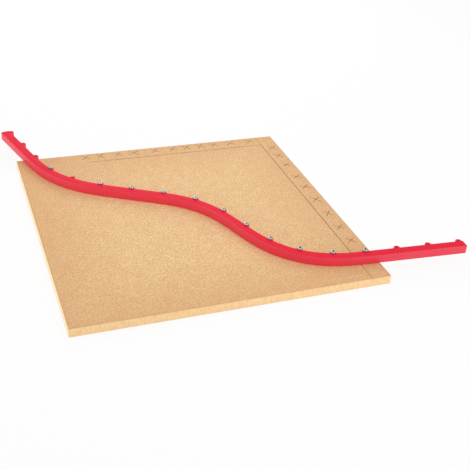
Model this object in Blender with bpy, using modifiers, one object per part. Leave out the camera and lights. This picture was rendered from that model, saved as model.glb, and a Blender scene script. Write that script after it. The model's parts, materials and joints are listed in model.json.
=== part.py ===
"""Bendable curve template, held in an S-curve by screws on a square fibreboard panel.

Metres, +Z up. The origin is the middle of the panel's underside, +X runs along the panel's
front edge and +Y towards its back edge. A station is a distance along the strip's centre
line from its mid-length, positive towards the right-hand end.
"""

import math

import bmesh
import bpy
from mathutils import Matrix, Vector

MM = 0.001

# Panel
PANEL_SIDE = 610 * MM
PANEL_THICKNESS = 18 * MM
PANEL_EASE = 0.8 * MM  # chamfer that eases the panel's cut edges

# Strip, a nearly square bar with half-round screw bosses along its rear face
STRIP_WIDTH = 19 * MM
STRIP_HEIGHT = 18 * MM
BOSS_COUNT = 18
PITCHES_PER_SIDE = 9  # boss pitches in the length of the panel's side
BOSS_RADIUS = 6.5 * MM
BOSS_SETBACK = 1 * MM  # from the strip's rear face to a boss's axis
BOSS_HOLE_RADIUS = 2.4 * MM
END_MARGIN = 9 * MM  # from an outermost boss to the strip's end

# Bent course of the centre line: its middle in panel sides, its heading at the left end in
# degrees, and for each bend its turn in degrees and where it starts and ends in boss pitches
MIDDLE_PLACE = (0.060, -0.011)
LEFT_HEADING = -74.7
BENDS = (
    (46.5, -6.68, -2.96),
    (-41.7, -1.78, 1.25),
    (65.9, 1.42, 5.59),
)

# Screws, with the bosses that hold them counted from the left
SCREWED_BOSSES = (4, *range(6, 16))
SCREW_RADIUS = 2 * MM
SCREW_BITE = 12 * MM  # length held in the panel
TIP_LENGTH = 4 * MM
HEAD_RADIUS = 5.25 * MM
HEAD_HEIGHT = 3.6 * MM
HEAD_RIM = 1.2 * MM  # upright rim below the head's dome
RECESS_LENGTH = 5.6 * MM
RECESS_WIDTH = 1.3 * MM
RECESS_DEPTH = 2 * MM
RECESS_TURN = 40.0  # degrees from one screw's recess to the next
DRILL_ALLOWANCE = 1 * MM  # pilot hole below the screw's tip

# Free ends of the strip, which flex about an upright axis outside the outermost screws
PIVOT_DISTANCE = 16 * MM
SEAT_ANGLE = 65.0  # degrees of the hollow seat either side of the strip's line

# Fits and fineness
CLEARANCE = 0.3 * MM
COURSE_STEP = 1 * MM
OUTLINE_STEP = 10 * MM
BOSS_SIDES = 8
HOLE_SIDES = 12
PIVOT_SIDES = 12
SCREW_SIDES = 16
DOME_STEPS = 4
MERGE = 0.01 * MM

# Sizes that follow from these, with heights from the panel's underside
BOSS_PITCH = PANEL_SIDE / PITCHES_PER_SIDE
COURSE_MIDDLE = Vector(MIDDLE_PLACE) * PANEL_SIDE
STRIP_BASE = PANEL_THICKNESS + CLEARANCE
HEAD_SEAT = STRIP_BASE + STRIP_HEIGHT + CLEARANCE
SCREW_LENGTH = HEAD_SEAT - PANEL_THICKNESS + SCREW_BITE

# Colours are linear
RED_PLASTIC = (0.79, 0.04, 0.06, 1.0)
FIBREBOARD = (0.79, 0.50, 0.26, 1.0)
STEEL = (0.62, 0.62, 0.64, 1.0)


def clear_scene():
    for thing in list(bpy.data.objects):
        bpy.data.objects.remove(thing, do_unlink=True)


def new_collection(name):
    collection = bpy.data.collections.new(name)
    bpy.context.scene.collection.children.link(collection)
    return collection


def new_material(name, colour, roughness, metallic):
    material = bpy.data.materials.new(name)
    material.use_nodes = True
    shader = material.node_tree.nodes["Principled BSDF"]
    shader.inputs["Base Color"].default_value = colour
    shader.inputs["Roughness"].default_value = roughness
    shader.inputs["Metallic"].default_value = metallic
    return material


def mesh_object(name, work, collection):
    """Object made from a bmesh, which is freed."""
    mesh = bpy.data.meshes.new(name)
    work.to_mesh(mesh)
    work.free()
    thing = bpy.data.objects.new(name, mesh)
    collection.objects.link(thing)
    return thing


def make_cutter(name, work, collection):
    cutter = mesh_object(name, work, collection)
    cutter.hide_render = True
    cutter.display_type = "WIRE"
    return cutter


def cut(thing, cutter):
    boolean = thing.modifiers.new(cutter.name, "BOOLEAN")
    boolean.operation = "DIFFERENCE"
    boolean.object = cutter


# The strip's course


def smoothstep(t):
    t = min(max(t, 0.0), 1.0)
    return t * t * (3 - 2 * t)


def heading(station):
    angle = LEFT_HEADING
    for turn, start, end in BENDS:
        angle += turn * smoothstep((station / BOSS_PITCH - start) / (end - start))
    return math.radians(angle)


def direction(station):
    angle = heading(station)
    return Vector((math.cos(angle), math.sin(angle)))


def centre(station):
    """Point on the centre line, followed in short steps from its middle."""
    steps = max(1, math.ceil(abs(station) / COURSE_STEP))
    step = station / steps
    point = COURSE_MIDDLE.copy()
    for i in range(steps):
        point += direction((i + 0.5) * step) * step
    return point


def beside(station, offset):
    """Point at a distance to the rear of the centre line."""
    return centre(station) + direction(station).orthogonal() * offset


def face(start, end, offset):
    """Points of a long face, evenly spaced between two stations."""
    steps = max(1, math.ceil(abs(end - start) / OUTLINE_STEP))
    return [beside(start + (end - start) * i / steps, offset) for i in range(steps + 1)]


def arc(axis, station, radius, start, end, sides):
    """Points of an arc, with its angles in degrees from the strip's direction."""
    along = direction(station)
    rear = along.orthogonal()
    points = []
    for i in range(sides + 1):
        angle = math.radians(start + (end - start) * i / sides)
        points.append(axis + (along * math.cos(angle) + rear * math.sin(angle)) * radius)
    return points


def boss_station(number):
    return (number - (BOSS_COUNT + 1) / 2) * BOSS_PITCH


def boss_axis(number):
    return beside(boss_station(number), STRIP_WIDTH / 2 + BOSS_SETBACK)


# The strip's pieces


def rear_face(start, end):
    """Rear face from its right to its left station, with the bosses between them."""
    points = []
    mark = end
    for number in range(BOSS_COUNT, 0, -1):
        station = boss_station(number)
        if start < station < end:
            points += face(mark, station + BOSS_RADIUS, STRIP_WIDTH / 2)
            points += arc(boss_axis(number), station, BOSS_RADIUS, 0, 180, BOSS_SIDES)
            mark = station - BOSS_RADIUS
    return points + face(mark, start, STRIP_WIDTH / 2)


def boss_holes(start, end):
    rings = []
    for number in range(1, BOSS_COUNT + 1):
        station = boss_station(number)
        if start < station < end:
            ring = arc(boss_axis(number), station, BOSS_HOLE_RADIUS, 0, 360, HOLE_SIDES)
            rings.append(ring[:-1])
    return rings


def strip_piece(name, start, end, right_end, left_end, origin):
    """Upright slab of the strip between two stations, with the points that shape its ends."""
    outline = face(start, end, -STRIP_WIDTH / 2) + right_end + rear_face(start, end) + left_end
    curve = bpy.data.curves.new(name, "CURVE")
    curve.dimensions = "2D"
    curve.fill_mode = "BOTH"
    curve.extrude = STRIP_HEIGHT / 2
    for ring in [outline] + boss_holes(start, end):
        spline = curve.splines.new("POLY")
        spline.points.add(len(ring) - 1)
        spline.use_cyclic_u = True
        for vertex, place in zip(spline.points, ring):
            vertex.co = (*(place - origin), 0.0, 1.0)
    thing = bpy.data.objects.new(name, curve)
    thing.location = (*origin, STRIP_BASE + STRIP_HEIGHT / 2)
    return thing


def make_strip(material, collection):
    """Screwed run with round ends, and the free ends that seat on them and turn about them."""
    half = STRIP_WIDTH / 2
    seat = half + CLEARANCE
    seat_depth = seat * math.cos(math.radians(SEAT_ANGLE))
    tip = boss_station(BOSS_COUNT) + END_MARGIN
    left = boss_station(SCREWED_BOSSES[0]) - PIVOT_DISTANCE
    right = boss_station(SCREWED_BOSSES[-1]) + PIVOT_DISTANCE
    left_pivot = centre(left)
    right_pivot = centre(right)

    right_round = arc(right_pivot, right, half, -90, 90, PIVOT_SIDES)[1:-1]
    left_round = arc(left_pivot, left, half, 90, 270, PIVOT_SIDES)[1:-1]
    right_seat = arc(right_pivot, right, seat, SEAT_ANGLE, -SEAT_ANGLE, PIVOT_SIDES)
    left_seat = arc(left_pivot, left, seat, 180 + SEAT_ANGLE, 180 - SEAT_ANGLE, PIVOT_SIDES)
    pieces = []
    for name, start, end, right_end, left_end, origin in (
        ("strip_run", left, right, right_round, left_round, COURSE_MIDDLE),
        ("strip_tail_left", -tip, left - seat_depth, left_seat, [], left_pivot),
        ("strip_tail_right", right + seat_depth, tip, [], right_seat, right_pivot),
    ):
        piece = strip_piece(name, start, end, right_end, left_end, origin)
        piece.data.materials.append(material)
        collection.objects.link(piece)
        pieces.append(piece)
    return pieces


# The panel and the screws


def box(size, middle):
    work = bmesh.new()
    bmesh.ops.create_cube(work, size=1.0)
    bmesh.ops.scale(work, vec=size, verts=work.verts)
    bmesh.ops.translate(work, vec=middle, verts=work.verts)
    return work


def make_panel(material, collection, cutters):
    middle = Vector((0, 0, PANEL_THICKNESS / 2))
    panel = mesh_object("panel", box((PANEL_SIDE, PANEL_SIDE, PANEL_THICKNESS), middle), collection)
    panel.data.materials.append(material)
    ease = panel.modifiers.new("eased_edges", "BEVEL")
    ease.width = PANEL_EASE
    ease.segments = 1

    depth = SCREW_BITE + DRILL_ALLOWANCE
    work = bmesh.new()
    for number in SCREWED_BOSSES:
        axis = boss_axis(number)
        bmesh.ops.create_cone(
            work,
            cap_ends=True,
            segments=HOLE_SIDES,
            radius1=BOSS_HOLE_RADIUS,
            radius2=BOSS_HOLE_RADIUS,
            depth=2 * depth,
            matrix=Matrix.Translation((axis.x, axis.y, PANEL_THICKNESS)),
        )
    cut(panel, make_cutter("pilot_holes", work, cutters))
    return panel


def screw_profile():
    """Outer side of a pan-head screw from the top of its dome to its tip."""
    points = []
    for i in range(DOME_STEPS + 1):
        angle = math.pi / 2 * i / DOME_STEPS
        rise = (HEAD_HEIGHT - HEAD_RIM) * math.cos(angle)
        points.append((HEAD_RADIUS * math.sin(angle), HEAD_RIM + rise))
    points.append((HEAD_RADIUS, 0))
    points.append((SCREW_RADIUS, 0))
    points.append((SCREW_RADIUS, TIP_LENGTH - SCREW_LENGTH))
    points.append((0, -SCREW_LENGTH))
    return points


def screw_mesh(material, collection, cutters):
    """Mesh that all the screws share, with its origin under the head."""
    work = bmesh.new()
    verts = [work.verts.new((radius, 0, height)) for radius, height in screw_profile()]
    for upper, lower in zip(verts, verts[1:]):
        work.edges.new((upper, lower))
    blank = mesh_object("screw_blank", work, collection)
    turned = blank.modifiers.new("turned", "SCREW")
    turned.steps = SCREW_SIDES
    turned.render_steps = SCREW_SIDES
    turned.use_merge_vertices = True
    turned.merge_threshold = MERGE

    blades = []
    for name, size in (
        ("recess_across", (RECESS_LENGTH, RECESS_WIDTH, 2 * RECESS_DEPTH)),
        ("recess_along", (RECESS_WIDTH, RECESS_LENGTH, 2 * RECESS_DEPTH)),
    ):
        blade = make_cutter(name, box(size, Vector((0, 0, HEAD_HEIGHT))), cutters)
        cut(blank, blade)
        blades.append(blade)
    bpy.context.view_layer.update()
    evaluated = blank.evaluated_get(bpy.context.evaluated_depsgraph_get())
    mesh = bpy.data.meshes.new_from_object(evaluated)
    for thing in [blank] + blades:
        bpy.data.objects.remove(thing, do_unlink=True)
    mesh.name = "pan_head_screw"
    mesh.materials.clear()
    mesh.materials.append(material)
    mesh.shade_smooth()
    mesh.set_sharp_from_angle(angle=math.radians(40))
    return mesh


def make_screws(material, collection, cutters):
    mesh = screw_mesh(material, collection, cutters)
    screws = []
    for place, number in enumerate(SCREWED_BOSSES, 1):
        screw = bpy.data.objects.new(f"screw_{place:02d}", mesh)
        screw.location = (*boss_axis(number), HEAD_SEAT)
        screw.rotation_euler.z = math.radians(RECESS_TURN * place)
        collection.objects.link(screw)
        screws.append(screw)
    return screws


def main():
    clear_scene()
    parts = new_collection("curve_template")
    cutters = new_collection("cutters")
    plastic = new_material("red_plastic", RED_PLASTIC, 0.45, 0.0)
    board = new_material("fibreboard", FIBREBOARD, 0.8, 0.0)
    steel = new_material("bright_steel", STEEL, 0.3, 1.0)

    base = bpy.data.objects.new("template_base", None)
    parts.objects.link(base)
    pieces = [make_panel(board, parts, cutters)]
    pieces += make_strip(plastic, parts)
    pieces += make_screws(steel, parts, cutters)
    for piece in pieces:
        piece.parent = base


main()
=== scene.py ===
# %% [markdown]
# # A bendable curve template on a board
#
# A red, bendable bar lies in an S-curve on a square of raw fibreboard. Round bosses along its
# rear face take screws, and eleven pan-head screws hold the bend. A router or a pencil follows
# the bar's smooth front face. This lesson dresses the solid model of it: the solids are the fixed
# frame, and each new piece below is modelled at its real size in that same frame.

# %% Load the frame
import json
import math

import bmesh
import bpy
from mathutils import Matrix, Vector


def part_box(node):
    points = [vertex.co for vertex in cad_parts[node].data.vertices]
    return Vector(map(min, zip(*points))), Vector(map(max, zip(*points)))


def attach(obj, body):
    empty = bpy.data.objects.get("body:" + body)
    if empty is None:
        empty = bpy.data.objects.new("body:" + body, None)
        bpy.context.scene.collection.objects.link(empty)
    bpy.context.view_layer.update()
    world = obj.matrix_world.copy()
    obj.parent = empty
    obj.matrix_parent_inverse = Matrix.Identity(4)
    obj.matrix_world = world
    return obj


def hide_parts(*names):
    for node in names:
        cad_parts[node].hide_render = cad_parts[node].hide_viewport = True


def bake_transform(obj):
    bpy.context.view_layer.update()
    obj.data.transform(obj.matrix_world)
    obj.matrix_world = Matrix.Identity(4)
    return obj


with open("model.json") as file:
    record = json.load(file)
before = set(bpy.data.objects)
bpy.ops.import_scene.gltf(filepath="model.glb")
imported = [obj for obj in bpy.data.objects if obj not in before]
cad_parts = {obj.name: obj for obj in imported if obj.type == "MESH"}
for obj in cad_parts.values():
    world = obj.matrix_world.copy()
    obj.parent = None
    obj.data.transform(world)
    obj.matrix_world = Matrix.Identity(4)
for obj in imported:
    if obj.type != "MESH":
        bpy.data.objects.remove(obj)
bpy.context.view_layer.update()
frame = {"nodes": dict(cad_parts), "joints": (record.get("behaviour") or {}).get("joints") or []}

MM = 0.001
joints = {joint["name"]: joint for joint in frame["joints"]}

# %% [markdown]
# ## Three small helpers
#
# Operators act on whatever is selected, so every step starts by choosing one piece alone. Edges
# and faces are then chosen by a test on their place or their direction, which keeps working
# when a size changes, as picking them by number would not.


# %% Choose a piece, and parts of it
def only(piece):
    """Selects one piece and nothing else."""
    bpy.ops.object.select_all(action="DESELECT")
    piece.select_set(True)
    bpy.context.view_layer.objects.active = piece


def choose(piece, kind, test):
    """In edit mode, selects the edges or faces that pass a test, and says how many there are."""
    bpy.ops.mesh.select_mode(type=kind)
    bpy.ops.mesh.select_all(action="DESELECT")
    shape = bmesh.from_edit_mesh(piece.data)
    parts = shape.edges if kind == "EDGE" else shape.faces
    chosen = [part for part in parts if test(part)]
    for part in chosen:
        part.select_set(True)
    bmesh.update_edit_mesh(piece.data)
    return len(chosen)


print("helpers ready:", only.__name__, choose.__name__)


# %% Apply a modifier
def modify(piece, kind, **settings):
    """Adds a modifier with its settings and applies it."""
    only(piece)
    modifier = piece.modifiers.new(kind.lower(), kind)
    for name, value in settings.items():
        setattr(modifier, name, value)
    bpy.ops.object.modifier_apply(modifier=modifier.name)


print("helper ready:", modify.__name__)

# %% [markdown]
# ## The bar's sizes and its bent course
#
# The bar's height and the panel's side are read from the frame. The bend is three smooth turns:
# along each one the heading eases in and out, as an elastic bar's does, so no circular arcs are
# pieced together. Following that heading in short steps gives the centre line.

# %% Sizes of the bar
panel_low, panel_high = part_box("panel")
run_low, run_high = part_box("strip_run")
PANEL_SIDE = panel_high.x - panel_low.x
BAR_WIDTH = 19 * MM
BAR_HEIGHT = run_high.z - run_low.z
BAR_MIDDLE_HEIGHT = (run_low.z + run_high.z) / 2
BOSS_COUNT = 18
PITCHES_PER_SIDE = 9
BOSS_PITCH = PANEL_SIDE / PITCHES_PER_SIDE
BOSS_RADIUS = 6.5 * MM
BOSS_SETBACK = 1 * MM  # from the bar's rear face to the boss's axis
BOSS_AXIS = BAR_WIDTH / 2 + BOSS_SETBACK  # behind the centre line
HOLE_RADIUS = 2.4 * MM
END_MARGIN = 9 * MM  # from the last boss's axis to the tip
BAR_LENGTH = (BOSS_COUNT - 1) * BOSS_PITCH + 2 * END_MARGIN
print(f"bar {BAR_LENGTH / MM:.0f} mm long, boss pitch {BOSS_PITCH / MM:.1f} mm")

# %% The line that the bar follows
COURSE_MIDDLE = Vector((0.060, -0.011)) * PANEL_SIDE
LEFT_HEADING = -74.7  # degrees
# Each bend is a turn in degrees, with its start and end in boss pitches from the bar's middle.
BENDS = ((46.5, -6.68, -2.96), (-41.7, -1.78, 1.25), (65.9, 1.42, 5.59))
COURSE_STEPS = 600


def heading(station):
    """Heading in radians at a distance from the bar's mid-length. Each bend eases in and out."""
    angle = LEFT_HEADING
    for turn, start, end in BENDS:
        share = min(max((station / BOSS_PITCH - start) / (end - start), 0.0), 1.0)
        angle += turn * share * share * (3 - 2 * share)
    return math.radians(angle)


def course_points():
    """Centre line from the left tip to the right tip, followed both ways from its middle."""
    step = BAR_LENGTH / COURSE_STEPS
    sides = []
    for way in (-1, 1):
        place = COURSE_MIDDLE.copy()
        side = []
        for i in range(COURSE_STEPS // 2):
            angle = heading(way * (i + 0.5) * step)
            place = place + Vector((math.cos(angle), math.sin(angle))) * way * step
            side.append(place)
        sides.append(side)
    return sides[0][::-1] + [COURSE_MIDDLE] + sides[1]


course_line = course_points()
print("tips at", course_line[0], course_line[-1])

# %% Draw the line as a curve
line = bpy.data.curves.new("course", "CURVE")
line.dimensions = "2D"
spline = line.splines.new("POLY")
spline.points.add(COURSE_STEPS)
for point, place in zip(spline.points, course_line):
    point.co = (place.x, place.y, 0.0, 1.0)
course = bpy.data.objects.new("course", line)
bpy.context.scene.collection.objects.link(course)
print("course drawn through", len(spline.points), "points")

# %% [markdown]
# ## One pitch of the straight bar
#
# The real bar is moulded straight and bent on the job, so it is made the same way here. One boss
# pitch is a box with a rounded lug on its rear face and a hole through the lug. Sweeping a profile
# would give the bar but not the lugs, so the pitch is modelled once and repeated.

# %% A length of plain bar
NEAR = 0.01 * MM  # places closer than this count as the same

bpy.ops.object.select_all(action="DESELECT")
bpy.ops.mesh.primitive_cube_add(size=1, location=(0, 0, 0))
pitch = bpy.context.object
pitch.scale = (BOSS_PITCH, BAR_WIDTH, BAR_HEIGHT)
bpy.ops.object.transform_apply(scale=True)
print("plain bar", f"{pitch.dimensions.x / MM:.1f} mm long")

# %% A lug on its rear face
LUG_ROOT = 4 * MM  # how far the lug's sides run into the bar
LUG_SIDES = 48

bpy.ops.mesh.primitive_cylinder_add(
    vertices=LUG_SIDES, radius=BOSS_RADIUS, depth=BAR_HEIGHT, location=(0, BOSS_AXIS, 0)
)
lug = bpy.context.object
bpy.ops.object.transform_apply(location=True)
bpy.ops.object.mode_set(mode="EDIT")
choose(lug, "EDGE", lambda edge: all(v.co.y < BOSS_AXIS - NEAR for v in edge.verts))
bpy.ops.transform.translate(value=(0, -LUG_ROOT, 0))
bpy.ops.object.mode_set(mode="OBJECT")
modify(pitch, "BOOLEAN", operation="UNION", solver="EXACT", object=lug)
bpy.data.objects.remove(lug)
print("pitch with its lug is", f"{pitch.dimensions.y / MM:.1f} mm deep")

# %% The screw hole
HOLE_SIDES = 32

bpy.ops.mesh.primitive_cylinder_add(
    vertices=HOLE_SIDES, radius=HOLE_RADIUS, depth=2 * BAR_HEIGHT, location=(0, BOSS_AXIS, 0)
)
drill = bpy.context.object
modify(pitch, "BOOLEAN", operation="DIFFERENCE", solver="EXACT", object=drill)
bpy.data.objects.remove(drill)
print("hole", f"{2 * HOLE_RADIUS / MM:.1f} mm wide")

# %% [markdown]
# ## Soft moulded edges
#
# A moulding has no sharp corners: the mould's edges are broken, and the plastic flows in with a
# small fillet where a lug meets the bar. Bevelling the chosen edges gives both. The two open ends
# stay sharp, because the next pitch is welded on there.

# %% Tests for the edges
SHARP = 1  # least angle between the faces of a sharp edge, in radians


def at_end(part):
    """Whether an edge or a face lies in one of the pitch's two end planes."""
    places = [v.co.x for v in part.verts]
    return max(places) - min(places) < NEAR and abs(places[0]) > BOSS_PITCH / 2 - NEAR


def is_inner_corner(edge):
    """Upright edge where the lug meets the bar."""
    upright = (edge.verts[0].co.xy - edge.verts[1].co.xy).length < NEAR
    return upright and not edge.is_convex and edge.calc_face_angle(0) > SHARP


def is_rim(edge):
    """Sharp edge of the bar's top or underside, apart from those of its two open ends."""
    flat = all(abs(abs(v.co.z) - BAR_HEIGHT / 2) < NEAR for v in edge.verts)
    return flat and not at_end(edge) and edge.calc_face_angle(0) > SHARP


print("edges sharper than", f"{math.degrees(SHARP):.0f} degrees are rounded")

# %% Fillets, then rounded rims
EDGE_ROUND = 1 * MM
ROUND_SEGMENTS = 3
LUG_FILLET = 0.9 * MM
FILLET_SEGMENTS = 4

only(pitch)
bpy.ops.object.mode_set(mode="EDIT")
fillets = choose(pitch, "EDGE", is_inner_corner)
bpy.ops.mesh.bevel(offset=LUG_FILLET, segments=FILLET_SEGMENTS)
rims = choose(pitch, "EDGE", is_rim)
bpy.ops.mesh.bevel(offset=EDGE_ROUND, segments=ROUND_SEGMENTS)
print("rounded", fillets, "inner corners and", rims, "rim edges")

# %% [markdown]
# ## Cross cuts, then the row of bosses
#
# A bend shows as facets unless the long faces are cut across often enough, so the pitch is sliced
# every few millimetres. Its end faces come off, so that the copies weld into one tube. The bar is
# two halves that meet in the middle of the run.

# %% Slice the pitch
SLICES = 12

choose(pitch, "FACE", at_end)
bpy.ops.mesh.delete(type="FACE")
for i in range(1, SLICES):
    bpy.ops.mesh.select_all(action="SELECT")
    place = BOSS_PITCH * (i / SLICES - 0.5)
    bpy.ops.mesh.bisect(plane_co=(place, 0, 0), plane_no=(1, 0, 0))
bpy.ops.mesh.select_all(action="SELECT")
bpy.ops.mesh.remove_doubles(threshold=NEAR)
bpy.ops.mesh.dissolve_degenerate(threshold=NEAR)
bpy.ops.object.mode_set(mode="OBJECT")
print("sliced pitch:", len(pitch.data.polygons), "faces")


# %% Repeat it into two half bars
def half_bar(name, first_boss):
    """Nine pitches of the straight bar, with distances from its left tip along X."""
    half = pitch.copy()
    half.data = pitch.data.copy()
    half.name = name
    bpy.context.scene.collection.objects.link(half)
    modify(
        half,
        "ARRAY",
        count=BOSS_COUNT // 2,
        use_relative_offset=False,
        use_constant_offset=True,
        constant_offset_displace=(BOSS_PITCH, 0, 0),
        use_merge_vertices=True,
        merge_threshold=NEAR,
    )
    half.location.x = END_MARGIN + first_boss * BOSS_PITCH
    only(half)
    bpy.ops.object.transform_apply(location=True)
    return half


left_bar = half_bar("bar_left", first_boss=0)
right_bar = half_bar("bar_right", first_boss=BOSS_COUNT // 2)
bpy.data.objects.remove(pitch)
print("half bars:", len(left_bar.data.polygons), "faces each")

# %% [markdown]
# ## Sawn tips and the bend
#
# Each tip is cut off square just past its last boss, closed, and given the same soft edge. A Curve
# modifier then bends the straight bar along its course. The two halves are closed where they meet,
# so each is a solid of its own.


# %% Cut the tips and close the ends
def close_ends(half, tip, keeps_right):
    """Cuts a half bar at its tip and closes both of its ends."""
    only(half)
    bpy.ops.object.mode_set(mode="EDIT")
    bpy.ops.mesh.select_mode(type="EDGE")
    bpy.ops.mesh.select_all(action="SELECT")
    bpy.ops.mesh.bisect(
        plane_co=(tip, 0, 0),
        plane_no=(1, 0, 0),
        use_fill=True,
        clear_inner=keeps_right,
        clear_outer=not keeps_right,
    )
    choose(half, "EDGE", lambda edge: all(abs(v.co.x - tip) < NEAR for v in edge.verts))
    bpy.ops.mesh.bevel(offset=EDGE_ROUND, segments=ROUND_SEGMENTS)
    choose(half, "EDGE", lambda edge: edge.is_boundary)
    bpy.ops.mesh.edge_face_add()
    bpy.ops.mesh.select_all(action="SELECT")
    bpy.ops.mesh.normals_make_consistent(inside=False)
    bpy.ops.object.mode_set(mode="OBJECT")


close_ends(left_bar, tip=0.0, keeps_right=True)
close_ends(right_bar, tip=BAR_LENGTH, keeps_right=False)
print("straight halves:", f"{left_bar.dimensions.x / MM:.1f} mm each")

# %% Bend both halves
SMOOTH_BELOW = math.radians(35)  # faces that meet at less than this are shaded as one

for half in (left_bar, right_bar):
    modify(half, "CURVE", object=course, deform_axis="POS_X")
    half.location.z = BAR_MIDDLE_HEIGHT
    bpy.ops.object.transform_apply(location=True)
    bpy.ops.object.shade_smooth_by_angle(angle=SMOOTH_BELOW)
    size = [f"{side / MM:.0f}" for side in half.dimensions]
    print(half.name, "box", " x ".join(size), "mm")
bpy.data.objects.remove(course)

# %% [markdown]
# ## Colours and shader nodes
#
# Colours are written as sRGB hex, the numbers a colour picker shows on the finished picture, and
# turned into the linear values that the renderer works in. One function adds any kind of node, so
# each material below reads as a short list of what the eye sees.


# %% From a hex colour to a linear one
def linear(code):
    """Linear RGBA of an sRGB hex colour."""
    shares = [int(code[i : i + 2], 16) / 255 for i in (1, 3, 5)]
    curve = [s / 12.92 if s <= 0.04045 else ((s + 0.055) / 1.055) ** 2.4 for s in shares]
    return (*curve, 1.0)


print("mid grey is", f"{linear('#808080')[0]:.3f}", "in linear light")

# %% Add nodes and connect them
COLOUR_A = 6  # input of a Mix node that is set to colours
COLOUR_B = 7
MIXED = 2  # its output


def connect(owner, node, inputs):
    """Sets a node's inputs. Each takes a plain value, or the output of another node."""
    for name, value in inputs.items():
        if isinstance(value, bpy.types.NodeSocket):
            owner.node_tree.links.new(value, node.inputs[name])
        else:
            node.inputs[name].default_value = value


def add_node(owner, kind, inputs, out=0, **settings):
    """Adds a node with its settings and inputs to a material or world, and gives one output."""
    node = owner.node_tree.nodes.new(kind)
    for name, value in settings.items():
        setattr(node, name, value)
    connect(owner, node, inputs)
    return node.outputs[out]


def new_material(name):
    """An empty node material, its Principled surface, and its object coordinates."""
    material = bpy.data.materials.new(name)
    material.use_nodes = True
    surface = material.node_tree.nodes["Principled BSDF"]
    place = add_node(material, "ShaderNodeTexCoord", {}, out="Object")
    return material, surface, place


print("material helpers ready")

# %% [markdown]
# ## Red flexible plastic
#
# The bar is a soft moulded plastic: an even, strong red with a faint grain from the mould. Its
# running faces are smooth, so a router bearing can slide along them, and its top is matt. Handling
# rubs the rounded edges a little paler and shinier. One function makes all three finishes, and a
# slow change of shade keeps a metre of one colour from looking like paint.

# %% A red plastic
SHADE_DRIFT = 40 * MM
MOULD_GRAIN = 1.2 * MM  # coarser than the real grain, which is too fine to show
GRAIN_DEPTH = 0.1 * MM


def moulded_red(name, dark, light, gloss, smoothest, roughest, grain_strength):
    """Red plastic with its two shades, its specular level, its roughness range and its grain."""
    material, surface, place = new_material(name)
    drift = add_node(material, "ShaderNodeTexNoise", {"Vector": place, "Scale": 1 / SHADE_DRIFT})
    shade = add_node(
        material,
        "ShaderNodeMix",
        {0: drift, COLOUR_A: linear(dark), COLOUR_B: linear(light)},
        out=MIXED,
        data_type="RGBA",
    )
    grain = add_node(material, "ShaderNodeTexNoise", {"Vector": place, "Scale": 1 / MOULD_GRAIN})
    roughness = add_node(
        material, "ShaderNodeMapRange", {"Value": grain, "To Min": smoothest, "To Max": roughest}
    )
    bump = add_node(
        material,
        "ShaderNodeBump",
        {"Height": grain, "Strength": grain_strength, "Distance": GRAIN_DEPTH},
    )
    connect(
        material,
        surface,
        {"Base Color": shade, "Roughness": roughness, "Normal": bump, "Specular IOR Level": gloss},
    )
    return material


print("mould grain drawn", f"{MOULD_GRAIN / MM:.1f} mm wide")

# %% The three finishes
running_face = moulded_red(
    "red_plastic_running_face",
    dark="#E02D45",
    light="#E8364D",
    gloss=0.5,
    smoothest=0.34,
    roughest=0.5,
    grain_strength=0.08,
)
matt_top = moulded_red(
    "red_plastic_matt_top",
    dark="#E3253C",
    light="#EB2D42",
    gloss=0.05,
    smoothest=0.5,
    roughest=0.66,
    grain_strength=0.16,
)
rubbed_edge = moulded_red(
    "red_plastic_rubbed_edge",
    dark="#E42A40",
    light="#EC3A4C",
    gloss=0.3,
    smoothest=0.3,
    roughest=0.44,
    grain_strength=0.05,
)
finishes = (running_face, matt_top, rubbed_edge)
print("red plastic in", len(finishes), "finishes")

# %% Give each face its finish
FLAT = 0.98  # least upright share of the normal of a top or an underside
UPRIGHT = 0.2  # largest upright share of the normal of a side


def finish_faces(piece, index, test):
    """In edit mode, gives the faces that pass a test one of the piece's materials."""
    count = choose(piece, "FACE", test)
    piece.active_material_index = index
    bpy.ops.object.material_slot_assign()
    return count


for half in (left_bar, right_bar):
    half.data.materials.clear()
    for finish in finishes:
        half.data.materials.append(finish)
    only(half)
    bpy.ops.object.mode_set(mode="EDIT")
    matt = finishes.index(matt_top)
    tops = finish_faces(half, matt, lambda face: abs(face.normal.z) > FLAT)
    rubbed = finishes.index(rubbed_edge)
    rims = finish_faces(half, rubbed, lambda face: UPRIGHT < abs(face.normal.z) <= FLAT)
    bpy.ops.object.mode_set(mode="OBJECT")
    print(half.name, "matt faces", tops, "rubbed faces", rims)

# %% [markdown]
# ## The bar takes over from its solids
#
# Past the last screw at each end the bar is free and springs sideways. The solid model shows that
# as a stiff tail on a hinge. Each half bar here stays with the board as it is bent, and the solids
# of the run and the two tails are hidden.


def blend_into(half):
    """Bakes a half bar's placing into its mesh; the bar stays with the board."""
    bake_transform(half)


blend_into(left_bar)
blend_into(right_bar)
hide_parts("strip_run", "strip_tail_left")
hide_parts("strip_tail_right")

# %% [markdown]
# ## Zinc-plated steel
#
# The screws are bright plated steel. Plating has a soft shine that varies a little from place to
# place, and a tint between blue-grey and straw. The cross recess is raw from the punch and duller;
# its near-black colour is painted shade with some grime, so it reads as a dark cross from a
# distance.

# %% Plating
STEEL_COOL = "#989CA3"
STEEL_WARM = "#A3A29C"
PLATING_DRIFT = 2 * MM
PLATING_GRAIN = 0.5 * MM  # coarser than real plating, which is too fine to show
PLATING_DEPTH = 0.05 * MM
PLATING_BUMP = 0.05
PLATING_SMOOTHEST = 0.2
PLATING_ROUGHEST = 0.36

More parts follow.
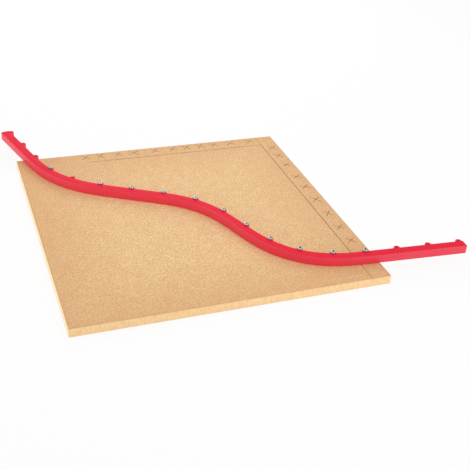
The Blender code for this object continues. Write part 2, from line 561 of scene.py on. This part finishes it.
steel, surface, place = new_material("zinc_plated_steel")
drift = add_node(steel, "ShaderNodeTexNoise", {"Vector": place, "Scale": 1 / PLATING_DRIFT})
tint = add_node(
    steel,
    "ShaderNodeMix",
    {0: drift, COLOUR_A: linear(STEEL_COOL), COLOUR_B: linear(STEEL_WARM)},
    out=MIXED,
    data_type="RGBA",
)
shine = add_node(
    steel,
    "ShaderNodeMapRange",
    {"Value": drift, "To Min": PLATING_SMOOTHEST, "To Max": PLATING_ROUGHEST},
)
grain = add_node(steel, "ShaderNodeTexNoise", {"Vector": place, "Scale": 1 / PLATING_GRAIN})
bump = add_node(
    steel,
    "ShaderNodeBump",
    {"Height": grain, "Strength": PLATING_BUMP, "Distance": PLATING_DEPTH},
)
connect(
    steel, surface, {"Base Color": tint, "Metallic": 1.0, "Roughness": shine, "Normal": bump}
)
print("plating tint from", STEEL_COOL, "to", STEEL_WARM)

# %% Punched recess with painted shade
# Painted shade: the recess walls are coloured near black, as the shade inside the cross, with some
# grime.
RECESS_DARK = "#27282A"
RECESS_LIGHT = "#3B3A39"
SHADE_AND_DIRT = 0.8 * MM
DIRTY_ROUGHNESS = 0.7
BARE_ROUGHNESS = 0.4

recess_steel, surface, place = new_material("recess_steel_painted_shade")
shade_and_dirt = add_node(recess_steel, "ShaderNodeTexNoise", {"Vector": place, "Scale": 1 / SHADE_AND_DIRT})
colour = add_node(
    recess_steel,
    "ShaderNodeMix",
    {0: shade_and_dirt, COLOUR_A: linear(RECESS_DARK), COLOUR_B: linear(RECESS_LIGHT)},
    out=MIXED,
    data_type="RGBA",
)
dullness = add_node(
    recess_steel,
    "ShaderNodeMapRange",
    {"Value": shade_and_dirt, "To Min": DIRTY_ROUGHNESS, "To Max": BARE_ROUGHNESS},
)
connect(recess_steel, surface, {"Base Color": colour, "Metallic": 1.0, "Roughness": dullness})
print("recess from", RECESS_DARK, "to", RECESS_LIGHT)

# %% [markdown]
# ## A pan-head screw
#
# The head is a low cylinder drawn up into a flattened dome, ring by ring, as a lathe would turn
# it. The shank is drawn down from its underside: a plain neck, a thinner core, then a point. The
# head's underside is at height zero, so a copy only has to be moved to its seat.

# %% Helpers for turning
AROUND = 48  # sides of every round face
ACROSS = 0.9  # least share along the screw of the normal of a face that lies across it


def end_disc(face, way):
    """Whether a face is the round end that looks up (way 1) or down (way -1)."""
    return len(face.verts) == AROUND and face.normal.z * way > ACROSS


def draw_out(ratio, rise):
    """Extrudes the chosen face along Z and scales it about the axis."""
    bpy.ops.mesh.extrude_region_move(TRANSFORM_OT_translate={"value": (0, 0, rise)})
    bpy.ops.transform.resize(value=(ratio, ratio, 1), center_override=(0, 0, 0))


print("helpers ready:", end_disc.__name__, draw_out.__name__)

# %% Turn the head
HEAD_RADIUS = 5.25 * MM
HEAD_RIM = 1.2 * MM
HEAD_HEIGHT = 3.6 * MM
CROWN_RADIUS = 2.4 * MM
CROWN_RINGS = 6

bpy.ops.object.select_all(action="DESELECT")
bpy.ops.mesh.primitive_cylinder_add(
    vertices=AROUND, radius=HEAD_RADIUS, depth=HEAD_RIM, location=(0, 0, HEAD_RIM / 2)
)
screw = bpy.context.object
bpy.ops.object.transform_apply(location=True)
screw.data.materials.append(steel)
bpy.ops.object.mode_set(mode="EDIT")
choose(screw, "FACE", lambda face: end_disc(face, 1))
radius = HEAD_RADIUS
height = HEAD_RIM
for ring in range(1, CROWN_RINGS + 1):
    turn = math.pi / 2 * ring / CROWN_RINGS
    next_radius = CROWN_RADIUS + (HEAD_RADIUS - CROWN_RADIUS) * math.cos(turn)
    next_height = HEAD_RIM + (HEAD_HEIGHT - HEAD_RIM) * math.sin(turn)
    draw_out(next_radius / radius, next_height - height)
    radius = next_radius
    height = next_height
print("head", f"{2 * HEAD_RADIUS / MM:.1f} x {height / MM:.1f} mm")

# %% Draw out the shank
SCREW_LENGTH = 30.6 * MM
SHANK_RADIUS = 2 * MM
NECK_LENGTH = 4 * MM
NECK_TAPER = 0.5 * MM
CORE_RADIUS = 1.4 * MM
POINT_LENGTH = 4 * MM
POINT_RATIO = 0.05  # the point's end is drawn in this far, then merged
RIM_BREAK = 0.3 * MM
BREAK_SEGMENTS = 2

choose(screw, "FACE", lambda face: end_disc(face, -1))
bpy.ops.mesh.inset(thickness=HEAD_RADIUS - SHANK_RADIUS)
draw_out(1, -NECK_LENGTH)
draw_out(CORE_RADIUS / SHANK_RADIUS, -NECK_TAPER)
draw_out(1, POINT_LENGTH + NECK_LENGTH + NECK_TAPER - SCREW_LENGTH)
draw_out(POINT_RATIO, -POINT_LENGTH)
bpy.ops.mesh.merge(type="CENTER")


def is_lower_rim(edge):
    """Edge of the head's underside, at its full width."""
    return all(abs(v.co.z) < NEAR and v.co.xy.length > HEAD_RADIUS - NEAR for v in edge.verts)


choose(screw, "EDGE", is_lower_rim)
bpy.ops.mesh.bevel(offset=RIM_BREAK, segments=BREAK_SEGMENTS)
bpy.ops.object.mode_set(mode="OBJECT")
print("screw height", f"{screw.dimensions.z / MM:.1f} mm")

# %% [markdown]
# ## The thread
#
# A thread is a small triangle wound down the core. The Screw modifier winds it, its two ends are
# closed, and a Boolean union joins it to the core. It only shows when a screw is drawn out, but
# then it is the first thing to look at.

# %% Wind the thread
THREAD_PITCH = 1.8 * MM
THREAD_TURNS = 11
THREAD_STEPS = 24
THREAD_TOP = -5.2 * MM
THREAD_CENTRE = 1.46 * MM  # the triangle's middle, from the screw's axis
THREAD_DEPTH = 0.52 * MM  # from its middle to its crest

only(screw)
bpy.ops.mesh.primitive_circle_add(
    vertices=3,  # a triangle
    radius=THREAD_DEPTH,
    fill_type="NOTHING",
    rotation=(math.pi / 2, math.pi / 2, 0),  # stands upright with its corner pointing outward
    location=(THREAD_CENTRE, 0, THREAD_TOP),
)
thread = bpy.context.object
bpy.ops.object.transform_apply(location=True, rotation=True)
modify(
    thread,
    "SCREW",
    angle=2 * math.pi,
    screw_offset=-THREAD_PITCH,
    iterations=THREAD_TURNS,
    steps=THREAD_STEPS,
    render_steps=THREAD_STEPS,
)
bpy.ops.object.mode_set(mode="EDIT")
bpy.ops.mesh.select_all(action="SELECT")
bpy.ops.mesh.fill_holes(sides=0)
bpy.ops.mesh.select_all(action="SELECT")
bpy.ops.mesh.normals_make_consistent(inside=False)
bpy.ops.object.mode_set(mode="OBJECT")
modify(screw, "BOOLEAN", operation="UNION", solver="EXACT", object=thread)
bpy.data.objects.remove(thread)
print("thread of", THREAD_TURNS, "turns joined to the core")

# %% [markdown]
# ## The cross recess
#
# A driver fits a cross that narrows downward. It is punched by two crossed wedges, each a box with
# its lower face drawn in. The punch carries the duller steel with its painted shade, and the
# Boolean passes that material on to the walls it cuts.

# %% Punch the recess
RECESS_LENGTH = 6.8 * MM
RECESS_WIDTH = 2.2 * MM
RECESS_DEPTH = 2.3 * MM
RECESS_TAPER = 0.5  # size of the wedge's lower face, as a share of its upper one

punches = []
for turn in (0, math.pi / 2):
    bpy.ops.mesh.primitive_cube_add(size=1, location=(0, 0, HEAD_HEIGHT), rotation=(0, 0, turn))
    punch = bpy.context.object
    punch.scale = (RECESS_LENGTH, RECESS_WIDTH, 2 * RECESS_DEPTH)  # half of it is above the head
    bpy.ops.object.transform_apply(location=True, rotation=True, scale=True)
    bpy.ops.object.mode_set(mode="EDIT")
    choose(punch, "FACE", lambda face: face.normal.z < -ACROSS)
    bpy.ops.transform.resize(value=(RECESS_TAPER, RECESS_TAPER, 1), center_override=(0, 0, 0))
    bpy.ops.object.mode_set(mode="OBJECT")
    punch.data.materials.append(recess_steel)
    punches.append(punch)
modify(punches[0], "BOOLEAN", operation="UNION", solver="EXACT", object=punches[1])
modify(
    screw,
    "BOOLEAN",
    operation="DIFFERENCE",
    solver="EXACT",
    object=punches[0],
    material_mode="TRANSFER",
)
for punch in punches:
    bpy.data.objects.remove(punch)
only(screw)
bpy.ops.object.shade_smooth_by_angle(angle=SMOOTH_BELOW)
print("screw:", len(screw.data.polygons), "faces,", len(screw.data.materials), "materials")

# %% [markdown]
# ## Eleven screws in their seats
#
# Every screw is a copy with a mesh of its own, moved to the seat that its joint names. Neighbours
# are driven to different turns, so their crosses point different ways.

# %% Copy the screw to every seat
RECESS_TURN = math.radians(40)  # from one screw's cross to the next one's

seats = [name for name in joints if name.startswith("screw_")]
for i, name in enumerate(seats):
    body = joints[name]["child"]
    copy = screw.copy()
    copy.data = screw.data.copy()
    copy.name = body + "_pan_head"
    bpy.context.scene.collection.objects.link(copy)
    copy.location = joints[name]["pos_m"]
    copy.rotation_euler.z = RECESS_TURN * i
    only(copy)
    bpy.ops.object.transform_apply(location=True, rotation=True)
    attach(copy, body)
    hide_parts(body)
bpy.data.objects.remove(screw)
print("screws seated:", len(seats))

# %% [markdown]
# ## Raw fibreboard
#
# The panel's own solid has the right shape, so it stays and takes a better material. Raw board is
# a pressed felt of wood fibre: an even tan broken by small pale and dark flecks, with slow warmer
# clouds where the fibre is denser.

# %% Light and dark tan
BOARD_LIGHT = "#FADAA8"
BOARD_DARK = "#D9AA74"
MOTTLE = 3.5 * MM
MOTTLE_DETAIL = 6.0
MOTTLE_LOW = 0.33  # noise up to this gives the dark tan alone
MOTTLE_HIGH = 0.67  # noise from this on gives the light tan alone

board, surface, place = new_material("raw_fibreboard")
mottle = add_node(
    board, "ShaderNodeTexNoise", {"Vector": place, "Scale": 1 / MOTTLE, "Detail": MOTTLE_DETAIL}
)
light_share = add_node(
    board,
    "ShaderNodeMapRange",
    {"Value": mottle, "From Min": MOTTLE_LOW, "From Max": MOTTLE_HIGH},
)
tan = add_node(
    board,
    "ShaderNodeMix",
    {0: light_share, COLOUR_A: linear(BOARD_DARK), COLOUR_B: linear(BOARD_LIGHT)},
    out=MIXED,
    data_type="RGBA",
)
print("mottle", f"{MOTTLE / MM:.1f} mm wide")

# %% Warm clouds
BOARD_WARM = "#E0A67C"
CLOUD = 22 * MM
CLOUD_LOW = 0.4
CLOUD_HIGH = 0.7
CLOUD_SHARE = 0.3

clouds = add_node(board, "ShaderNodeTexNoise", {"Vector": place, "Scale": 1 / CLOUD})
warm_share = add_node(
    board,
    "ShaderNodeMapRange",
    {"Value": clouds, "From Min": CLOUD_LOW, "From Max": CLOUD_HIGH, "To Max": CLOUD_SHARE},
)
clouded = add_node(
    board,
    "ShaderNodeMix",
    {0: warm_share, COLOUR_A: tan, COLOUR_B: linear(BOARD_WARM)},
    out=MIXED,
    data_type="RGBA",
)
print("clouds", f"{CLOUD / MM:.0f} mm wide")

# %% Dark flecks
BOARD_FLECK = "#AF7F54"
FLECK = 2 * MM  # drawn coarser than the real fibres, which are too fine to show
FLECK_DETAIL = 5.0
FLECK_LOW = 0.55
FLECK_HIGH = 0.8
FLECK_SHARE = 0.6

flecks = add_node(
    board, "ShaderNodeTexNoise", {"Vector": place, "Scale": 1 / FLECK, "Detail": FLECK_DETAIL}
)
fleck_share = add_node(
    board,
    "ShaderNodeMapRange",
    {"Value": flecks, "From Min": FLECK_LOW, "From Max": FLECK_HIGH, "To Max": FLECK_SHARE},
)
flecked = add_node(
    board,
    "ShaderNodeMix",
    {0: fleck_share, COLOUR_A: clouded, COLOUR_B: linear(BOARD_FLECK)},
    out=MIXED,
    data_type="RGBA",
)
print("board flecks drawn", f"{FLECK / MM:.0f} mm wide")

# %% [markdown]
# ## Painted border shade, worn borders and sawn edges
#
# The panel's top is painted darker from its borders inward, which is painted shade, and knocks
# bruise the last few millimetres. The sawn edges show the looser, paler core between two thin,
# denser skins, with faint upright streaks from the saw. The left edge is painted paler still, as a
# painted highlight of the light from that side. All of it is worked out from the distance to the
# panel's middle, and from which way a face looks.

# %% Distance from the panel's middle
sides = add_node(board, "ShaderNodeSeparateXYZ", {"Vector": place}).node.outputs
from_side = add_node(board, "ShaderNodeMath", {0: sides["X"]}, operation="ABSOLUTE")
from_front = add_node(board, "ShaderNodeMath", {0: sides["Y"]}, operation="ABSOLUTE")
outwards = add_node(board, "ShaderNodeMath", {0: from_side, 1: from_front}, operation="MAXIMUM")
print("panel borders", f"{PANEL_SIDE / 2 / MM:.0f} mm from its middle")

# %% Painted shade towards the borders
# Painted shade: the top turns darker over a wide band towards every border.
BOARD_BORDER_SHADE = "#D39A68"
HANDLED_WIDTH = 150 * MM
BORDER_SHADE_SHARE = 0.42

border_shade_share = add_node(
    board,
    "ShaderNodeMapRange",
    {
        "Value": outwards,
        "From Min": PANEL_SIDE / 2 - HANDLED_WIDTH,
        "From Max": PANEL_SIDE / 2,
        "To Max": BORDER_SHADE_SHARE,
    },
)
shade_towards = add_node(
    board,
    "ShaderNodeMix",
    {0: border_shade_share, COLOUR_A: flecked, COLOUR_B: linear(BOARD_BORDER_SHADE)},
    out=MIXED,
    data_type="RGBA",
)
print("handled border", f"{HANDLED_WIDTH / MM:.0f} mm wide")

# %% Worn borders
BOARD_WORN = "#B98152"
WEAR_WIDTH = 3.5 * MM
WEAR_PATCH = 9 * MM

border = add_node(
    board,
    "ShaderNodeMapRange",
    {"Value": outwards, "From Min": PANEL_SIDE / 2 - WEAR_WIDTH, "From Max": PANEL_SIDE / 2},
)
patches = add_node(board, "ShaderNodeTexNoise", {"Vector": place, "Scale": 1 / WEAR_PATCH})
worn_share = add_node(board, "ShaderNodeMath", {0: border, 1: patches}, operation="MULTIPLY")
top = add_node(
    board,
    "ShaderNodeMix",
    {0: worn_share, COLOUR_A: shade_towards, COLOUR_B: linear(BOARD_WORN)},
    out=MIXED,
    data_type="RGBA",
)
print("worn border", f"{WEAR_WIDTH / MM:.1f} mm wide")

# %% Core and skins of a sawn edge
EDGE_CORE = "#F6D39E"
EDGE_SKIN = "#E9BE8B"
SKIN = 2 * MM  # depth over which the core turns into the skin

half_thickness = (panel_high.z - panel_low.z) / 2
from_middle = add_node(
    board, "ShaderNodeMath", {0: sides["Z"], 1: panel_low.z + half_thickness}, operation="SUBTRACT"
)
depth = add_node(board, "ShaderNodeMath", {0: from_middle}, operation="ABSOLUTE")
skin_share = add_node(
    board,
    "ShaderNodeMapRange",
    {"Value": depth, "From Min": half_thickness - SKIN, "From Max": half_thickness},
)
layered = add_node(
    board,
    "ShaderNodeMix",
    {0: skin_share, COLOUR_A: linear(EDGE_CORE), COLOUR_B: linear(EDGE_SKIN)},
    out=MIXED,
    data_type="RGBA",
)
print("panel half thickness", f"{half_thickness / MM:.0f} mm")

# %% Saw streaks
EDGE_STREAK = "#D8A274"
SAW_STREAK = 4 * MM  # coarser than real saw marks, which are too fine to show
STREAK_STRETCH = 0.4  # pattern scale along the upright direction, which draws the streaks out
STREAK_DETAIL = 3.0
STREAK_LOW = 0.4
STREAK_HIGH = 0.75
STREAK_SHARE = 0.4

drawn_out = add_node(
    board, "ShaderNodeMapping", {"Vector": place, "Scale": (1.0, 1.0, STREAK_STRETCH)}
)
streaks = add_node(
    board,
    "ShaderNodeTexNoise",
    {"Vector": drawn_out, "Scale": 1 / SAW_STREAK, "Detail": STREAK_DETAIL},
)
streak_share = add_node(
    board,
    "ShaderNodeMapRange",
    {"Value": streaks, "From Min": STREAK_LOW, "From Max": STREAK_HIGH, "To Max": STREAK_SHARE},
)
edge = add_node(
    board,
    "ShaderNodeMix",
    {0: streak_share, COLOUR_A: layered, COLOUR_B: linear(EDGE_STREAK)},
    out=MIXED,
    data_type="RGBA",
)
print("saw streaks", f"{SAW_STREAK / MM:.0f} mm wide")

# %% A painted highlight on the left edge
# Painted highlight: faces that look left are painted paler, as the light from that side makes
# them.
EDGE_LEFT_HIGHLIGHT = "#F9E8C4"
LEFT_HIGHLIGHT_SHARE = 0.8
LEFTWARD = -0.6  # X share of the normal from which a face fully counts as looking left

facing = add_node(board, "ShaderNodeNewGeometry", {}, out="True Normal")
looks = add_node(board, "ShaderNodeSeparateXYZ", {"Vector": facing}).node.outputs
left_highlight_share = add_node(
    board, "ShaderNodeMapRange", {"Value": looks["X"], "From Max": LEFTWARD, "To Max": LEFT_HIGHLIGHT_SHARE}
)
sawn = add_node(
    board,
    "ShaderNodeMix",
    {0: left_highlight_share, COLOUR_A: edge, COLOUR_B: linear(EDGE_LEFT_HIGHLIGHT)},
    out=MIXED,
    data_type="RGBA",
)
print("left edge lightened to", EDGE_LEFT_HIGHLIGHT)

# %% Top and edges on one panel
EASED = 0.75  # a face counts as sawn up to this upright share of its normal, eased corners too

flatness = add_node(board, "ShaderNodeMath", {0: looks["Z"]}, operation="ABSOLUTE")
top_share = add_node(board, "ShaderNodeMapRange", {"Value": flatness, "From Min": EASED})
colour = add_node(
    board,
    "ShaderNodeMix",
    {0: top_share, COLOUR_A: sawn, COLOUR_B: top},
    out=MIXED,
    data_type="RGBA",
)
print("faces tilted more than", f"{math.degrees(math.acos(EASED)):.0f} degrees count as sawn")

# %% The fibres' relief
BOARD_ROUGHEST = 0.95
BOARD_SMOOTHEST = 0.72
BOARD_GLOSS = 0.2
FIBRE_BUMP = 0.25
FIBRE_HEIGHT = 0.2 * MM

roughness = add_node(
    board,
    "ShaderNodeMapRange",
    {"Value": flecks, "To Min": BOARD_ROUGHEST, "To Max": BOARD_SMOOTHEST},
)
bump = add_node(
    board,
    "ShaderNodeBump",
    {"Height": flecks, "Strength": FIBRE_BUMP, "Distance": FIBRE_HEIGHT},
)
connect(
    board,
    surface,
    {
        "Base Color": colour,
        "Roughness": roughness,
        "Normal": bump,
        "Specular IOR Level": BOARD_GLOSS,
    },
)
for slot in frame["nodes"]["panel"].material_slots:
    slot.material = board
print("fibreboard on the panel")

# %% [markdown]
# ## Pencil marks
#
# Two ruled lines run along the right and the rear edge, with a row of crosses outside each. A
# pencil leaves a thin layer that starts and ends narrow, so one stroke is a flat strip, tapered
# at its ends and raised a little. The crosses are copies of one bowed stroke, laid by hand and so
# never twice at quite the same angle or length.

# %% One stroke
LINE_WIDTH = 1.7 * MM  # twice a real pencil line, which is too fine to show
STROKE_RISE = 0.1 * MM  # a stroke's thickness, half of it sunk into the board
STROKE_CUTS = 7
STROKE_END = 0.4  # width at its ends, as a share of its middle
BOWED = 0.25  # reach of the bowed part to each side of the middle, as a share of the length


def stroke(length, bow):
    """A flat pencil stroke along X on the panel's top, bowed sideways about the Z axis."""
    bpy.ops.object.select_all(action="DESELECT")
    bpy.ops.mesh.primitive_plane_add(size=1, location=(0, 0, panel_high.z - STROKE_RISE / 2))
    piece = bpy.context.object
    piece.scale = (length, LINE_WIDTH, 1)
    bpy.ops.object.transform_apply(location=True, scale=True)
    bpy.ops.object.mode_set(mode="EDIT")
    choose(piece, "EDGE", lambda edge: abs(edge.verts[0].co.x - edge.verts[1].co.x) > NEAR)
    bpy.ops.mesh.subdivide(number_cuts=STROKE_CUTS)
    choose(piece, "EDGE", lambda edge: all(abs(v.co.x) < length * BOWED for v in edge.verts))
    bpy.ops.transform.translate(value=(0, bow, 0))
    choose(piece, "EDGE", lambda edge: all(abs(v.co.x) > length / 2 - NEAR for v in edge.verts))
    bpy.ops.transform.resize(value=(1, STROKE_END, 1), center_override=(0, 0, 0))
    bpy.ops.mesh.select_all(action="SELECT")
    bpy.ops.mesh.extrude_region_move(TRANSFORM_OT_translate={"value": (0, 0, STROKE_RISE)})
    bpy.ops.mesh.select_all(action="SELECT")
    bpy.ops.mesh.normals_make_consistent(inside=False)
    bpy.ops.object.mode_set(mode="OBJECT")
    return piece


print("pencil line", f"{LINE_WIDTH / MM:.1f} mm wide")


# %% Lay a stroke on the panel
def lay(piece, x, y, turn, lift):
    """Turns a stroke about its middle and lays it at a place on the panel, or just above it."""
    piece.location = (x, y, lift)
    piece.rotation_euler.z = turn
    only(piece)
    bpy.ops.object.transform_apply(location=True, rotation=True, scale=True)
    return piece


print("helper ready:", lay.__name__)

# %% Two ruled lines
LINE_INSET = 40 * MM
REAR_LINE_START = -150 * MM
OVER = 0.04 * MM  # lifts a stroke that crosses another one, so that their tops don't coincide

rear_line_end = panel_high.x - LINE_INSET
right_line = lay(
    stroke(PANEL_SIDE, bow=0),
    x=rear_line_end,
    y=0,
    turn=math.pi / 2,
    lift=0,
)
rear_line = lay(
    stroke(rear_line_end - REAR_LINE_START, bow=0),
    x=(rear_line_end + REAR_LINE_START) / 2,
    y=panel_high.y - LINE_INSET,
    turn=0,
    lift=OVER,
)
print("rear line starts at", f"{REAR_LINE_START / MM:.0f} mm")

# %% Where the crosses stand
RIGHT_ROW = 285.5 * MM
REAR_ROW = 289 * MM
RIGHT_CROSSES = (245, 203, 156, 97, 50, -7, -67, -122, -174)  # distances from the middle, mm
REAR_CROSSES = (-154, -120, -80, -42, 7.5, 51, 85, 119, 153, 194, 244)

crosses = [(RIGHT_ROW, y * MM) for y in RIGHT_CROSSES]
crosses += [(x * MM, REAR_ROW) for x in REAR_CROSSES]
print("crosses:", len(crosses))

# %% Draw the crosses
import random

STROKE_LENGTH = 27 * MM
STROKE_BOW = 0.5 * MM
CROSS_LEAN = math.radians(45)
LEAN_SPREAD = 0.22  # radians
LENGTH_SPREAD = 0.14  # share of a stroke's length
HAND_SEED = 7

hand = random.Random(HAND_SEED)
first_stroke = stroke(STROKE_LENGTH, bow=STROKE_BOW)
strokes = [right_line, rear_line]
for x, y in crosses:
    for way, lift in ((-1, 0), (1, OVER)):
        copy = first_stroke.copy()
        copy.data = first_stroke.data.copy()
        bpy.context.scene.collection.objects.link(copy)
        copy.scale.x = 1 + hand.uniform(-LENGTH_SPREAD, LENGTH_SPREAD)
        lean = way * CROSS_LEAN + hand.uniform(-LEAN_SPREAD, LEAN_SPREAD)
        strokes.append(lay(copy, x, y, lean, lift))
bpy.data.objects.remove(first_stroke)
only(right_line)
for piece in strokes:
    piece.select_set(True)
bpy.ops.object.join()
pencil_marks = right_line
pencil_marks.name = "pencil_marks"
print("pencil strokes:", len(strokes))

# %% [markdown]
# ## Graphite
#
# Soft pencil on rough board only catches the raised fibres. The mark is therefore broken up by
# the board's own tan, and it shines a little where the graphite lies thick.

# %% Graphite broken by gaps
GRAPHITE = "#70421D"
GRAPHITE_GAP = 2.5 * MM
GAP_DETAIL = 3.0
GAP_LOW = 0.5
GAP_HIGH = 0.8

graphite, surface, place = new_material("pencil_graphite")
breaks = add_node(
    graphite,
    "ShaderNodeTexNoise",
    {"Vector": place, "Scale": 1 / GRAPHITE_GAP, "Detail": GAP_DETAIL},
)
gap_share = add_node(
    graphite, "ShaderNodeMapRange", {"Value": breaks, "From Min": GAP_LOW, "From Max": GAP_HIGH}
)
colour = add_node(
    graphite,
    "ShaderNodeMix",
    {0: gap_share, COLOUR_A: linear(GRAPHITE), COLOUR_B: linear(BOARD_DARK)},
    out=MIXED,
    data_type="RGBA",
)
print("gaps in the graphite", f"{GRAPHITE_GAP / MM:.1f} mm wide")

# %% Graphite on the marks
GRAPHITE_ROUGHNESS = 0.55
GAP_ROUGHNESS = 0.85
GRAPHITE_BUMP = 0.25
GRAPHITE_DEPTH = 0.1 * MM

roughness = add_node(
    graphite,
    "ShaderNodeMapRange",
    {"Value": gap_share, "To Min": GRAPHITE_ROUGHNESS, "To Max": GAP_ROUGHNESS},
)
bump = add_node(
    graphite,
    "ShaderNodeBump",
    {"Height": breaks, "Strength": GRAPHITE_BUMP, "Distance": GRAPHITE_DEPTH},
)
connect(graphite, surface, {"Base Color": colour, "Roughness": roughness, "Normal": bump})
pencil_marks.data.materials.clear()
pencil_marks.data.materials.append(graphite)
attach(pencil_marks, "board")
print("graphite on", pencil_marks.name)

# %% [markdown]
# ## Floor and surroundings
#
# The photograph is cut out on white. The floor and the world are white to the camera and in
# reflections, while the light they throw on the object stays plain. The floor keeps part of its
# own shading, so the object still stands on a soft shadow.


# %% Which rays see plain white
def seen_white(owner):
    """One for rays that reach the camera directly or by reflection, none for lighting rays."""
    rays = add_node(owner, "ShaderNodeLightPath", {}).node.outputs
    direct = add_node(
        owner,
        "ShaderNodeMath",
        {0: rays["Is Camera Ray"], 1: rays["Is Glossy Ray"]},
        operation="MAXIMUM",
    )
    return add_node(
        owner,
        "ShaderNodeMath",
        {0: direct, 1: rays["Is Transmission Ray"]},
        operation="MAXIMUM",
    )


print("helper ready:", seen_white.__name__)

# %% White floor
FLOOR_SIZE = 40  # metres
FLOOR_WHITE = "#FBFBFB"
FLOOR_ROUGHNESS = 0.9
WHITE_SHARE = 0.88  # the rest is the floor's own shading
WHITE = linear("#FFFFFF")

bpy.ops.object.select_all(action="DESELECT")
bpy.ops.mesh.primitive_plane_add(size=FLOOR_SIZE, location=(0, 0, 0))
floor = bpy.context.object
floor.name = "floor"
paper, surface, _ = new_material("white_paper")
connect(
    paper,
    surface,
    {
        "Base Color": linear(FLOOR_WHITE),
        "Roughness": FLOOR_ROUGHNESS,
        "Specular IOR Level": 0.0,
    },
)
glow = add_node(paper, "ShaderNodeEmission", {"Color": WHITE, "Strength": 1.0})
share = add_node(
    paper, "ShaderNodeMath", {0: seen_white(paper), 1: WHITE_SHARE}, operation="MULTIPLY"
)
mix = add_node(paper, "ShaderNodeMixShader", {0: share, 1: surface.outputs[0], 2: glow})
connect(paper, paper.node_tree.nodes["Material Output"], {"Surface": mix})
floor.data.materials.append(paper)
print("floor", FLOOR_SIZE, "m wide")

# %% White world
AMBIENT = 0.64

world = bpy.data.worlds.new("white_room")
world.use_nodes = True
bpy.context.scene.world = world
lighting = world.node_tree.nodes["Background"]
connect(world, lighting, {"Color": WHITE, "Strength": AMBIENT})
white = add_node(world, "ShaderNodeBackground", {"Color": WHITE, "Strength": 1.0})
mix = add_node(
    world, "ShaderNodeMixShader", {0: seen_white(world), 1: lighting.outputs[0], 2: white}
)
connect(world, world.node_tree.nodes["World Output"], {"Surface": mix})
print("ambient light", AMBIENT)

# %% [markdown]
# ## Studio light
#
# Four soft lights: one overhead, one behind, which lays the bar's soft shadow towards the camera,
# one low at the front right, which lifts the front faces, and a low one at the left, which does
# the same for the left edge.


# %% Soft lights
def soft_light(name, place, target, size, power):
    """A square area light, turned to a target. Places and size are in metres, power in watts."""
    lamp = bpy.data.lights.new(name, "AREA")
    lamp.shape = "SQUARE"
    lamp.size = size
    lamp.energy = power
    holder = bpy.data.objects.new(name, lamp)
    holder.location = place
    holder.rotation_euler = (Vector(target) - Vector(place)).to_track_quat("-Z", "Y").to_euler()
    bpy.context.scene.collection.objects.link(holder)
    print(name, power, "W")


soft_light(
    "overhead_light", place=(0.05, -0.08, 0.85), target=(0.05, -0.08, 0), size=0.6, power=1.1
)
soft_light("rear_light", place=(0.35, 1.7, 1.0), target=(0.05, -0.15, 0), size=1.2, power=12)
soft_light("front_right_light", place=(1.4, -2.3, 0.6), target=(0.1, 0, 0), size=1.6, power=27)
soft_light("left_light", place=(-2.0, 0.1, 0.3), target=(-0.2, 0, 0), size=0.8, power=12)

# %% [markdown]
# ## The camera
#
# The panel's corners in the photograph fix the camera: its direction, its distance and its lens.
# The picture was taken slightly tilted, so the camera rolls as well.

# %% Camera
AZIMUTH = math.radians(-22.723)
ELEVATION = math.radians(32.3726)
ROLL = math.radians(4.7508)
DISTANCE = 1.6575  # metres from the point that it looks at
LOOK_AT = Vector((0.06513, -0.09838, 0.01753))
LENS = 63.875  # millimetres, as is the sensor
SENSOR = 36

back = Vector(
    (
        math.sin(AZIMUTH) * math.cos(ELEVATION),
        -math.cos(AZIMUTH) * math.cos(ELEVATION),
        math.sin(ELEVATION),
    )
)
right = (-back).cross(Vector((0, 0, 1))).normalized()
up = right.cross(-back)
level = Matrix((right, up, back)).transposed().to_4x4()
lens = bpy.data.cameras.new("camera")
lens.lens = LENS
lens.sensor_width = SENSOR
camera = bpy.data.objects.new("camera", lens)
camera.matrix_world = (
    Matrix.Translation(LOOK_AT + back * DISTANCE) @ level @ Matrix.Rotation(ROLL, 4, "Z")
)
bpy.context.scene.collection.objects.link(camera)
bpy.context.scene.camera = camera
bpy.context.scene.view_settings.view_transform = "Standard"
print("camera at", camera.matrix_world.translation)
